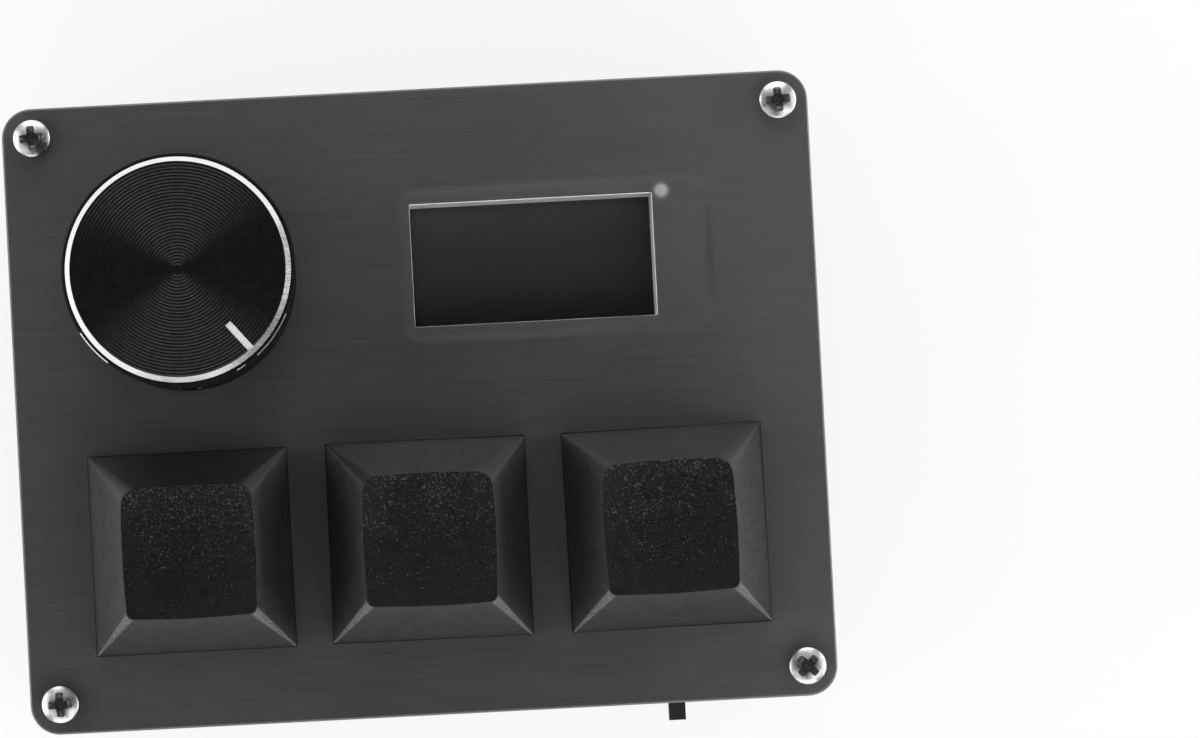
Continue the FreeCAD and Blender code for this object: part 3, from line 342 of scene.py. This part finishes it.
class Build:
    """A mesh made ring by ring."""

    def __init__(self):
        self.mesh = bmesh.new()

    def ring(self, points):
        return [self.mesh.verts.new([c * MM for c in p]) for p in points]

    def bridge(self, low, high, material=0):
        count = len(low)
        for i in range(count):
            j = (i + 1) % count
            face = self.mesh.faces.new((low[i], low[j], high[j], high[i]))
            face.material_index = material
        return high

    def lid(self, ring, material=0, flip=False):
        face = self.mesh.faces.new(ring[::-1] if flip else ring)
        face.material_index = material

    def sheet(self, *rings, material=0, up=True):
        """A flat face with its outline first and its holes after."""
        edges = set()
        for ring in rings:
            for a, b in zip(ring, ring[1:] + ring[:1]):
                edges.add(self.mesh.edges.get((a, b)) or self.mesh.edges.new((a, b)))
        made = bmesh.ops.triangle_fill(self.mesh, use_beauty=True, edges=list(edges))
        for face in (g for g in made["geom"] if isinstance(g, bmesh.types.BMFace)):
            face.normal_update()
            if (face.normal.z > 0) != up:
                face.normal_flip()
            face.material_index = material

    def turned(self, profile, centre, steps, materials=None):
        """A body of revolution from (radius, z) pairs, from the middle below to the top."""
        before = None
        for k, (radius, z) in enumerate(profile):
            angles = [2 * math.pi * i / steps for i in range(steps)]
            ring = self.ring([(centre[0] + radius * math.cos(a),
                               centre[1] + radius * math.sin(a), z) for a in angles])
            if before is not None:
                self.bridge(before, ring, (materials or {}).get(k, 0))
            else:
                self.lid(ring, flip=True)
            before = ring
        self.lid(before)

    def object(self, name, materials, sharp=32.0):
        bmesh.ops.recalc_face_normals(self.mesh, faces=self.mesh.faces)
        data = bpy.data.meshes.new(name)
        self.mesh.to_mesh(data)
        self.mesh.free()
        made = bpy.data.objects.new(name, data)
        bpy.context.scene.collection.objects.link(made)
        for material in materials:
            data.materials.append(material)
        shade(data, sharp)
        return made


def evened(obj):
    """Normals weighted by face size, so that flat faces stay flat beside narrow rounds."""
    made = obj.modifiers.new("normals", "WEIGHTED_NORMAL")
    made.keep_sharp = True
    made.weight = 100


def softened(obj, wide, steps=2, limit=35.0, material=-1):
    made = obj.modifiers.new("edges", "BEVEL")
    made.width = wide * MM
    made.segments = steps
    made.limit_method = "ANGLE"
    made.angle_limit = math.radians(limit)
    made.harden_normals = True
    made.use_clamp_overlap = True
    made.material = material


def cut_away(obj, *cutters):
    """The object without the cutters, which are taken out one by one and then removed."""
    for cutter in cutters:
        step = obj.modifiers.new("cut", "BOOLEAN")
        step.operation, step.solver, step.object = "DIFFERENCE", "EXACT", cutter
    graph = bpy.context.evaluated_depsgraph_get()
    made = bpy.data.meshes.new_from_object(obj.evaluated_get(graph))
    obj.modifiers.clear()
    old, obj.data = obj.data, made
    bpy.data.meshes.remove(old)
    for cutter in cutters:
        bpy.data.objects.remove(cutter)


def soft_box(x, y, wide, deep, radius, per_side=1, per_corner=6, rear_radius=None):
    """Corners turn the other way from a clock, starting at the right-hand end of the front."""
    front_radius, points = radius, []
    for quarter, (sx, sy) in enumerate(((1, -1), (1, 1), (-1, 1), (-1, -1))):
        radius = front_radius if sy < 0 or rear_radius is None else rear_radius
        half_x, half_y = wide / 2 - radius, deep / 2 - radius
        start = math.pi / 2 * (quarter - 1)
        corner = [(sx * half_x + radius * math.cos(start + math.pi / 2 * k / per_corner),
                   sy * half_y + radius * math.sin(start + math.pi / 2 * k / per_corner))
                  for k in range(per_corner + 1)]
        points += corner
        after = front_radius if quarter in (2, 3) or rear_radius is None else rear_radius
        end_x, end_y = wide / 2 - after, deep / 2 - after
        follows = ((wide / 2, end_y), (-end_x, deep / 2), (-wide / 2, -end_y),
                   (end_x, -deep / 2))[quarter]
        last = corner[-1]
        for k in range(1, per_side):
            share = k / per_side
            points.append((last[0] + (follows[0] - last[0]) * share,
                           last[1] + (follows[1] - last[1]) * share))
    return [(x + px, y + py) for px, py in points]


def turned_about(points, x, y, degrees):
    turn = math.radians(degrees)
    return [(x + (px - x) * math.cos(turn) - (py - y) * math.sin(turn),
             y + (px - x) * math.sin(turn) + (py - y) * math.cos(turn)) for px, py in points]


def circle(x, y, radius, steps=32):
    return [(x + radius * math.cos(2 * math.pi * k / steps),
             y + radius * math.sin(2 * math.pi * k / steps)) for k in range(steps)]


def at(points, z):
    return [(x, y, z) for x, y in points]


# Places shared with the CAD model

panel_centre_y, panel_wide, panel_deep = 0.925, 73.3, 56.9
panel_low, panel_top, raise_tall = 18.0, 20.0, 0.09
screw_x, screw_rear_y, screw_front_y = 33.9, 26.625, -24.775
window_x, window_y, window_wide, window_tall = 11.0, 13.275, 22.0, 11.1
zone_x, zone_wide, zone_tall = 13.075, 27.95, 13.5
key_places = {"left": (-21.3, 0.0), "middle": (0.25, -0.5), "right": (21.8, 0.6)}
cap_foot_wide, cap_top_wide = 18.1, 11.7
knob_x, knob_y = -20.55, 12.985
knob_low, knob_top = 21.0, 38.0
spring_low, spring_high = 9.4, 19.0


# The top panel

def make_panel():
    """Plate with a rounded top edge, chamfered windows and the soft zone that stands up round the
    screen, with painted light and shade on its slopes and top.
    """
    build = Build()
    edge, corner = 0.25, 2.7
    outline = lambda inset: soft_box(0, panel_centre_y, panel_wide - 2 * inset,
                                     panel_deep - 2 * inset, corner - inset, per_corner=10)
    bottom = build.ring(at(outline(0), panel_low))
    rim = build.bridge(bottom, build.ring(at(outline(0), panel_top - edge)))
    for k in range(1, 6):
        turn = math.pi / 2 * k / 5
        rim = build.bridge(rim, build.ring(at(outline(edge * (1 - math.cos(turn))),
                                              panel_top - edge * (1 - math.sin(turn)))))
    top_holes, low_holes = [], []

    def way(points_at, level, chamfer, wall, chamfer_material=0, foot_points=None):
        """A hole through the plate with a narrow chamfer at its top."""
        mouth = build.ring(at(points_at(chamfer), level))
        neck = build.ring(at(points_at(0.0), level - chamfer))
        foot = build.ring(at(foot_points or points_at(0.0), panel_low))
        build.bridge(mouth, neck, chamfer_material)
        build.bridge(neck, foot, wall)
        low_holes.append(foot)
        return mouth

    key_gap = 0.03
    for x, twist in key_places.values():
        wide = cap_foot_wide + 2 * key_gap
        top_holes.append(way(lambda c: turned_about(
            soft_box(x, key_y, wide + 2 * c, wide + 2 * c, 0.1 + c, per_corner=2),
            x, key_y, twist * 0.75), panel_top, 0.01, 0))
    for sx in (-screw_x, screw_x):
        for sy in (screw_rear_y, screw_front_y):
            top_holes.append(way(lambda c: circle(sx, sy, 1.1 + c, 20), panel_top, 0.1, 0))
    top_holes.append(way(lambda c: circle(knob_x, knob_y, 3.8 + c, 32), panel_top, 0.15, 0))
    zone = lambda grow: soft_box(zone_x, window_y, zone_wide + 2 * grow, zone_tall + 2 * grow,
                                 1.8 + grow, per_side=14, per_corner=8)
    slope, steps = 0.6, 8
    ring = build.ring(at(zone(slope), panel_top))
    top_holes.append(ring)
    for k in range(1, steps + 1):
        share = k / steps
        rise = share * share * (3 - 2 * share) * raise_tall
        ring = build.bridge(ring, build.ring(at(zone(slope - 2 * slope * share),
                                                panel_top + rise)))
    window = way(lambda c: soft_box(window_x + 0.4 * c, window_y + 0.4 * c, window_wide + 2 * c,
                                    window_tall + 2 * c, 0.12 + c, per_corner=4),
                 panel_top + raise_tall, 0.04, 1, 1,
                 soft_box(window_x - 0.07, window_y - 0.1, window_wide - 0.14,
                          window_tall - 0.2, 0.12, per_corner=4))
    build.sheet(rim, *top_holes)
    spot = lambda reach: circle(*pip_place, reach, 24)
    brow = build.ring(at(spot(0.38), panel_top + raise_tall))
    build.sheet(ring, window, brow)
    for reach in (0.30, 0.22, 0.14, 0.07, 0.02):
        tall = 0.04 * (0.5 + 0.5 * math.cos(math.pi * reach / 0.38))
        brow = build.bridge(brow, build.ring(at(spot(reach), panel_top + raise_tall + tall)))
    build.lid(brow)
    build.sheet(bottom, *low_holes, up=False)
    made = build.object("top_panel_plate", [panel_material, wall_material])
    # Painted light and shade on the zone round the screen: its top lighter, less so right of 21.9
    # mm, its right-hand slope darker, its front slope lighter and its other slopes a little
    # lighter.
    zone_painted_shading = made.data.attributes.new("zone_painted_shading", "FLOAT", "POINT")
    for vertex, mark in zip(made.data.vertices, zone_painted_shading.data):
        share = min(1.0, max(0.0, (vertex.co.z / MM - panel_top) / raise_tall))
        slope_middle = 4 * share * (1 - share)
        side = 0.1
        if vertex.co.x / MM > 26.0:
            side = -0.5 * max(0.0, 1.0 - ((vertex.co.y / MM - window_y) / 6.3) ** 2)
        elif vertex.co.y / MM < 7.6:
            side = 0.45
        flat = 0.06 if vertex.co.x / MM > 21.9 else 0.26
        mark.value = flat * share + side * slope_middle
    evened(made)
    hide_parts("top_panel")
    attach(made, "case")


# Keycaps

def make_cap(word, x, twist):
    """A hollow cap with four sloping sides, corners that open upwards, and a dished top."""
    build = Build()
    low, foot, high = 19.6, 20.0, 27.2
    base, top = cap_foot_wide / 2, cap_top_wide / 2
    dish_radius, dish_deep = 34.0, 0.85

    def outline(half, radius, rear_radius=None):
        flat = soft_box(x, key_y, 2 * half, 2 * half, radius, 14, 5, rear_radius)
        return turned_about(flat, x, key_y, twist)

    def dish(px, py):
        reach = (px - x) ** 2 + (py - key_y) ** 2
        return min(high, high - dish_deep + dish_radius - math.sqrt(dish_radius ** 2 - reach))

    def side(share):
        return outline(base + (top - base) * share, 0.12 + 0.60 * share, 0.12 + 1.35 * share)

    roof = build.ring(at(outline(6.14, 0.2), 24.4))
    build.lid(roof, flip=True)
    step = build.bridge(roof, build.ring(at(outline(6.14, 0.2), 22.6)))
    step = build.bridge(step, build.ring(at(outline(6.94, 0.2), 22.6)))
    step = build.bridge(step, build.ring(at(outline(6.94, 0.2), low)))
    step = build.bridge(step, build.ring(at(outline(base, 0.15), low)))
    step = build.bridge(step, build.ring(at(outline(base, 0.15), foot)))
    whole = side(1.0)
    levels = [high] * len(whole)
    for _ in range(4):
        brim = [side((z - foot) / (high - foot))[i] for i, z in enumerate(levels)]
        levels = [dish(*p) for p in brim]
    rows = 8
    for k in range(1, rows + 1):
        points = []
        for i, z_end in enumerate(levels):
            z = foot + (z_end - foot) * k / rows
            px, py = side((z - foot) / (high - foot))[i]
            points.append((px, py, z))
        step = build.bridge(step, build.ring(points))
    rows = 12
    for k in range(1, rows):
        share = 1 - k / rows
        points = [(x + (px - x) * share, key_y + (py - key_y) * share) for px, py in brim]
        step = build.bridge(step, build.ring([(*p, dish(*p)) for p in points]), 1)
    build.lid(step, 1)
    made = build.object(f"{word}_keycap_shell", [cap_side_material, cap_top_material], sharp=60.0)
    # Painted highlight: marks the front corner rounds of the sides.
    painted_corner_highlight = made.data.attributes.new("painted_corner_highlight", "FLOAT", "POINT")
    for vertex, mark in zip(made.data.vertices, painted_corner_highlight.data):
        px, py = turned_about([(vertex.co.x / MM, vertex.co.y / MM)], x, key_y, -twist)[0]
        share = min(1.0, max(0.0, (vertex.co.z / MM - foot) / (high - foot)))
        flat = base + (top - base) * share - (0.12 + 0.60 * share) * 0.9
        mark.value = 1.0 if abs(px - x) > flat and key_y - py > flat else 0.0
    softened(made, 0.08, 2, 30.0, material=1)
    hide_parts(f"{word}_keycap")
    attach(made, f"{word}_key")


# The knob

def prism(corners, low, high, material):
    """A closed upright cutter from its corners, which leaves faces of the given material."""
    build = Build()
    floor = build.ring(at(corners, low))
    build.lid(floor, material, flip=True)
    roof = build.bridge(floor, build.ring(at(corners, high)), material)
    build.lid(roof, material)
    return build.object("cutter", [None] * (material + 1))


def make_knob():
    """Turned shell with fine grooves on top, a bright cut ring, painted glints of bright cut metal
    on its shoulder, and the pointer cut through.
    """
    build = Build()
    room, radius, ledge, start = 7.8, 10.0, 9.87, 9.43
    grooves, pitch, deep, crest = 32, 0.29, 0.045, knob_top - 0.02
    sharp, pointer_degrees, hole_z, hole_radius = 14.0, -50.3, 25.2, 1.5
    painted_glints = ((24, 50), (57, 62), (130, 150))
    profile = [(0.02, 35.6), (room, 35.6), (room, knob_low), (radius - 0.25, knob_low),
               (radius, knob_low + 0.25), (radius, 36.2), (10.22, 36.42), (10.25, 36.54),
               (10.25, 36.66), (10.22, 36.78), (10.13, 36.94), (10.0, 37.02), (ledge, 37.06),
               (ledge, 37.25), (start, knob_top)]
    materials = dict.fromkeys(range(3, 14), 1) | {14: 2}
    profile.append((start - 0.06, crest))
    for k in range(grooves):
        outer = start - 0.06 - k * pitch
        if outer - pitch < 0.1:
            break
        profile += [(outer - pitch / 2, crest - deep), (outer - pitch, crest)]
    profile.append((0.03, knob_top - 0.03))
    build.turned(profile, (knob_x, knob_y), 144, materials)
    made = build.object("knob_shell", [knob_material, knob_wall_material, cut_material,
                                       paint_material], sharp)
    for face in made.data.polygons:
        level, reach = face.center.z / MM, math.hypot(face.center.x / MM - knob_x,
                                                      face.center.y / MM - knob_y)
        angle = math.degrees(math.atan2(knob_y - face.center.y / MM,
                                        face.center.x / MM - knob_x)) % 360
        # Painted highlights: shoulder faces within the glint angles get the bright cut metal.
        if 36.78 < level < 36.94 and reach > ledge + 0.1:
            if any(first < angle < last for first, last in painted_glints):
                face.material_index = 2
    turn = math.radians(pointer_degrees)
    inner, outer, half = start - 2.98, start + 0.02, 0.3
    bar = [(inner, -half), (outer, -half), (outer, half), (inner, half)]
    bar = [(knob_x + px * math.cos(turn) - py * math.sin(turn),
            knob_y + px * math.sin(turn) + py * math.cos(turn)) for px, py in bar]
    slot = prism(bar, knob_top - 0.08, knob_top + 0.3, 3)
    hole = Build()
    angles = [2 * math.pi * k / 32 for k in range(32)]
    mouth, end = [hole.ring([(knob_x + hole_radius * math.cos(a), y,
                              hole_z + hole_radius * math.sin(a)) for a in angles])
                  for y in (knob_y - radius - 0.5, knob_y - room + 0.4)]
    hole.lid(mouth)
    hole.bridge(mouth, end)
    hole.lid(end, flip=True)
    bore = hole.object("cutter", [None])
    cut_away(made, slot, bore)
    shade(made.data, sharp)
    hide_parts("knob_body")
    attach(made, "knob_turn")


# Screws that hold the panel

def tapered_wing(x, y, turn, long, wide, top, bottom):
    """One wing of the cross recess, narrower and shorter at its foot."""
    build = Build()

    def level(z, share):
        half_long, half_wide = long / 2 * share, wide / 2 * (0.45 + 0.55 * share)
        tip = half_wide * 0.35
        corners = [(-half_long + tip, -half_wide), (half_long - tip, -half_wide),
                   (half_long, -half_wide + tip), (half_long, half_wide - tip),
                   (half_long - tip, half_wide), (-half_long + tip, half_wide),
                   (-half_long, half_wide - tip), (-half_long, -half_wide + tip)]
        return [(x + px * math.cos(turn) - py * math.sin(turn),
                 y + px * math.sin(turn) + py * math.cos(turn), z) for px, py in corners]

    floor = build.ring(level(bottom, 0.45))
    build.lid(floor, flip=True)
    roof = build.bridge(floor, build.ring(level(top, 1.0)))
    build.lid(roof)
    return build.object("cutter", [None])


def make_screws():
    """Pan heads with a cross recess on threaded shanks."""
    reach, rim_tall, rim_round, crown = 1.70, 0.52, 0.22, panel_top + 1.22
    wing_long, wing_wide, sharp = 2.75, 0.76, 38.0
    heads = []
    turns = {(-screw_x, screw_rear_y): 4.0, (screw_x, screw_rear_y): 5.0,
             (-screw_x, screw_front_y): 2.0, (screw_x, screw_front_y): 46.0}
    for (x, y), degrees in turns.items():
        build = Build()
        profile = [(0.02, 14.0), (0.5, 14.05)]
        z = 14.4
        while z < 19.7:
            profile += [(0.8, z), (0.97, z + 0.1), (0.97, z + 0.16), (0.8, z + 0.26)]
            z += 0.4
        profile += [(0.85, panel_top), (1.64, panel_top), (reach, panel_top + 0.06),
                    (reach, panel_top + rim_tall)]
        for k in range(1, 5):
            turn = math.radians(62.0) * k / 4
            profile.append((reach - rim_round + rim_round * math.cos(turn),
                            panel_top + rim_tall + rim_round * math.sin(turn)))
        brim = profile[-1]
        for k in range(1, 7):
            share = 1 - k / 6
            profile.append((max(0.02, brim[0] * share),
                            crown - (crown - brim[1]) * share ** 2))
        build.turned(profile, (x, y), 48)
        head = build.object("screw", [nickel_material], sharp)
        turn = math.radians(degrees)
        top, bottom = panel_top + 1.3, panel_top + 0.30
        pit = Build()
        pit.turned([(0.15, bottom - 0.1), (0.55, top)], (x, y), 20)
        wings = [tapered_wing(x, y, turn + more, wing_long, wing_wide, top, bottom)
                 for more in (0.0, math.pi / 2)]
        cut_away(head, *wings, pit.object("cutter", [None]))
        heads.append(head)
    joined = bmesh.new()
    for head in heads:
        joined.from_mesh(head.data)
    data = bpy.data.meshes.new("panel_screw_set")
    joined.to_mesh(data)
    joined.free()
    for head in heads:
        bpy.data.objects.remove(head)
    data.materials.append(nickel_material)
    shade(data, sharp)
    made = bpy.data.objects.new("panel_screw_set", data)
    bpy.context.scene.collection.objects.link(made)
    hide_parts("panel_screws")
    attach(made, "case")


# Springs inside the switches

def make_spring(word, x):
    """A coil of round wire whose end turns lie closed."""
    build = Build()
    low, high, radius, wire = spring_low, spring_high, 2.0, 0.18
    turns, steps, sides = 9.0, 20, 6
    count = int(turns * steps)
    ring = None
    for k in range(count + 1):
        share = k / count
        angle = 2 * math.pi * turns * share
        closed = 1.2 / turns
        if share < closed:
            climb = 0.06 * share / closed
        elif share > 1 - closed:
            climb = 1 - 0.06 * (1 - share) / closed
        else:
            climb = 0.06 + 0.88 * (share - closed) / (1 - 2 * closed)
        z = low + wire + (high - low - 2 * wire) * climb
        out = Vector((math.cos(angle), math.sin(angle), 0.0))
        centre = Vector((x, key_y, z)) + out * radius
        points = [centre + out * wire * math.cos(a) + Vector((0, 0, wire * math.sin(a)))
                  for a in (2 * math.pi * i / sides for i in range(sides))]
        fresh = build.ring(points)
        if ring is None:
            build.lid(fresh)
        else:
            build.bridge(ring, fresh)
        ring = fresh
    build.lid(ring, flip=True)
    made = build.object(f"{word}_spring_coil", [wire_material], sharp=70.0)
    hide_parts(f"{word}_switch_spring")
    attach(made, "case")
    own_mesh(made)


make_panel()
for word, (x, twist) in key_places.items():
    make_cap(word, x, twist)
    make_spring(word, x)
make_knob()
make_screws()


# Floor, surroundings and light

def make_floor():
    """Pale floor that shows white, with most of the shadow lifted as in the photograph."""
    build = Build()
    reach = 2600.0
    build.sheet(build.ring([(-reach, -reach, 0), (reach, -reach, 0), (reach, reach, 0),
                            (-reach, reach, 0)]))
    material = bpy.data.materials.new("floor_white")
    material.use_nodes = True
    tree = material.node_tree
    shader = tree.nodes["Principled BSDF"]
    shader.inputs["Base Color"].default_value = (0.85, 0.85, 0.85, 1.0)
    shader.inputs["Roughness"].default_value = 0.9
    glow = tree.nodes.new("ShaderNodeEmission")
    glow.inputs["Color"].default_value = (1.0, 1.0, 1.0, 1.0)
    glow.inputs["Strength"].default_value = 1.0
    path = tree.nodes.new("ShaderNodeLightPath")
    seen = tree.nodes.new("ShaderNodeMath")
    seen.operation = "MAXIMUM"
    tree.links.new(path.outputs["Is Camera Ray"], seen.inputs[0])
    tree.links.new(path.outputs["Is Glossy Ray"], seen.inputs[1])
    share = tree.nodes.new("ShaderNodeMath")
    share.operation = "MULTIPLY"
    tree.links.new(seen.outputs["Value"], share.inputs[0])
    share.inputs[1].default_value = 0.8
    choice = tree.nodes.new("ShaderNodeMixShader")
    tree.links.new(share.outputs["Value"], choice.inputs["Fac"])
    tree.links.new(shader.outputs["BSDF"], choice.inputs[1])
    tree.links.new(glow.outputs["Emission"], choice.inputs[2])
    tree.links.new(choice.outputs["Shader"], tree.nodes["Material Output"].inputs["Surface"])
    build.object("floor", [material])


def make_surroundings():
    """A light tent: white low down all round; mirrors also see its bright rear wall."""
    world = bpy.data.worlds.new("surroundings")
    bpy.context.scene.world = world
    world.use_nodes = True
    tree = world.node_tree

    def ramp(value, *stops):
        made = tree.nodes.new("ShaderNodeValToRGB")
        tree.links.new(value, made.inputs["Fac"])
        ends = made.color_ramp.elements
        ends[0].position, ends[0].color = stops[0][0], (*grey(stops[0][1]), 1.0)
        ends[1].position, ends[1].color = stops[-1][0], (*grey(stops[-1][1]), 1.0)
        for height, level in stops[1:-1]:
            made.color_ramp.elements.new(height).color = (*grey(level), 1.0)
        return made.outputs["Color"]

    place = tree.nodes.new("ShaderNodeTexCoord")
    split = tree.nodes.new("ShaderNodeSeparateXYZ")
    tree.links.new(place.outputs["Generated"], split.inputs["Vector"])
    sky = tree.nodes["Background"]
    tree.links.new(ramp(split.outputs["Z"], (0.0, 1.0), (0.35, 0.9), (0.6, 0.35), (0.85, 0.12),
                        (1.0, 0.10)), sky.inputs["Color"])
    sky.inputs["Strength"].default_value = 0.17
    low = ramp(split.outputs["Z"], (0.02, 1.0), (0.16, 0.75), (0.30, 0.04), (1.0, 0.03))
    rear = ramp(split.outputs["Y"], (0.34, 0.0), (0.56, 0.9))
    either = tree.nodes.new("ShaderNodeMix")
    either.data_type, either.blend_type = "RGBA", "LIGHTEN"
    either.inputs["Factor"].default_value = 1.0
    colours = [s for s in either.inputs if s.type == "RGBA"]
    tree.links.new(low, colours[0])
    tree.links.new(rear, colours[1])
    wall = tree.nodes.new("ShaderNodeBackground")
    tree.links.new(next(s for s in either.outputs if s.type == "RGBA"), wall.inputs["Color"])
    wall.inputs["Strength"].default_value = 1.0
    path = tree.nodes.new("ShaderNodeLightPath")
    seen = path.outputs["Is Camera Ray"]
    for kind in ("Is Glossy Ray", "Is Transmission Ray"):
        both = tree.nodes.new("ShaderNodeMath")
        both.operation = "MAXIMUM"
        tree.links.new(seen, both.inputs[0])
        tree.links.new(path.outputs[kind], both.inputs[1])
        seen = both.outputs["Value"]
    choice = tree.nodes.new("ShaderNodeMixShader")
    tree.links.new(seen, choice.inputs["Fac"])
    tree.links.new(sky.outputs["Background"], choice.inputs[1])
    tree.links.new(wall.outputs["Background"], choice.inputs[2])
    tree.links.new(choice.outputs["Shader"], tree.nodes["World Output"].inputs["Surface"])


def make_lamp(name, place, wide, deep, power):
    """A rectangular lamp aimed at the part's middle; sizes in millimetres, power in watts."""
    data = bpy.data.lights.new(name, "AREA")
    data.shape = "RECTANGLE"
    data.size, data.size_y = wide * MM, deep * MM
    data.energy = power
    lamp = bpy.data.objects.new(name, data)
    bpy.context.scene.collection.objects.link(lamp)
    lamp.location = [c * MM for c in place]
    away = Vector([p - a for p, a in zip(place, (0, 0, 20))])
    lamp.rotation_euler = away.to_track_quat("Z", "Y").to_euler()


make_floor()
make_surroundings()
make_lamp("left_low", (-300, 0, 110), 360, 160, 0.80)
make_lamp("right_low", (300, 0, 110), 360, 160, 0.42)
make_lamp("front_low", (0, -300, 110), 360, 160, 0.78)
make_lamp("rear_low", (0, 300, 110), 360, 160, 0.84)
make_lamp("left_floor", (-300, 0, 45), 360, 70, 0.25)
make_lamp("right_floor", (300, 0, 45), 360, 70, 0.62)
make_lamp("rear_left", (-260, 260, 300), 240, 200, 0.05)
make_lamp("front_left", (-260, -260, 300), 240, 200, 0.28)
make_lamp("front_right", (260, -260, 300), 240, 200, 0.52)
